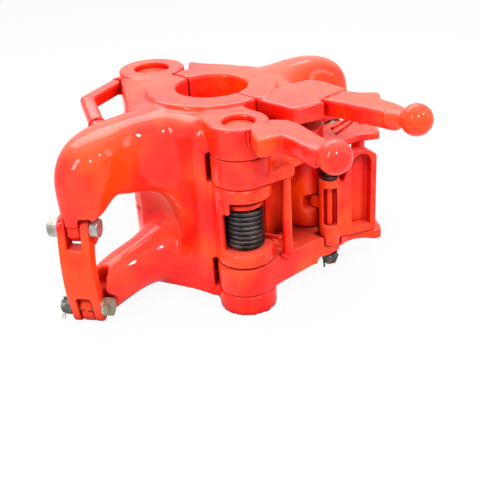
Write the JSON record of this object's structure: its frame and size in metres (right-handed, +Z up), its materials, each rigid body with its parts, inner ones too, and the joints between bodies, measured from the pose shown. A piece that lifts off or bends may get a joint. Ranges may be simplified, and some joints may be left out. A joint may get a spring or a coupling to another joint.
{
  "type": "drill pipe elevator",
  "caption": "Centre-latch elevator for drill pipe: two hinged halves round a square-shoulder bore, a sprung latch with lock, horned link ears closed by bolted blocks, and ball handles.",
  "frame": {"origin": "centre of the pipe bore on the plane that the elevator stands on", "axes": "+Z up along the bore, +X through the link ear of the half that swings open, -Y towards the latch and the ball handles"},
  "size_m": [0.7664, 0.6837, 0.393],
  "materials": {
    "red_paint": "gloss orange-red enamel over cast steel",
    "pin_steel": "ground, greased",
    "black_spring": "black oxide, oiled",
    "grey_zinc": "dull grey zinc plating",
    "olive_zinc": "olive passivated zinc plating",
    "bronze": "machined bronze"
  },
  "bodies": {
    "root": {"left_body": "red_paint", "left_handle": "red_paint", "rear_handle": "red_paint", "hinge_pin": "pin_steel", "hinge_pin_nut": "pin_steel", "latch_pin": "pin_steel", "latch_pin_nut": "pin_steel", "latch_spring": "black_spring", "spring_seat": "red_paint", "left_link_block": "red_paint", "left_upper_bolt": "grey_zinc", "left_upper_nut": "grey_zinc", "left_lower_bolt": "olive_zinc", "left_lower_washer": "grey_zinc", "left_lower_nut": "black_spring", "left_lower_cotter": "grey_zinc"},
    "right_half": {"right_body": "red_paint", "right_handle": "red_paint", "hinge_bushes": "bronze", "right_link_block": "red_paint", "right_upper_bolt": "grey_zinc", "right_upper_nut": "grey_zinc", "right_lower_bolt": "olive_zinc", "right_lower_washer": "grey_zinc", "right_lower_nut": "black_spring", "right_lower_cotter": "grey_zinc"},
    "latch_arm": {"latch": "red_paint", "latch_rod": "red_paint", "latch_bushes": "bronze", "lock_bolt": "red_paint", "lock_spring": "black_spring", "lock_washer": "black_spring", "lock_nut": "black_spring", "lock_cotter": "black_spring", "stop_screw": "grey_zinc", "stop_nut": "grey_zinc"},
    "lock_lever": {"latch_lock": "red_paint"}
  },
  "joints": [
    {"name": "half_opening", "type": "hinge", "parent": "root", "child": "right_half", "pos_m": [0, 0.1867, 0], "axis": [0, 0, 1], "range_deg": [0, 38]},
    {"name": "latch_swing", "type": "hinge", "parent": "root", "child": "latch_arm", "pos_m": [-0.088, -0.1695, 0], "axis": [0, 0, 1], "range_deg": [-100, 0], "stiffness_Nm_per_rad": 40, "springref_deg": 17.19, "deforming": ["latch_spring"]},
    {"name": "lock_turn", "type": "hinge", "parent": "latch_arm", "child": "lock_lever", "pos_m": [0.088, -0.22, 0], "axis": [0, 0, 1], "range_deg": [-28, 0], "stiffness_Nm_per_rad": 6, "springref_deg": 11.46}
  ],
  "couplings": [
    {"joint": "latch_swing", "follows": "half_opening", "ratio": -2.63}
  ]
}
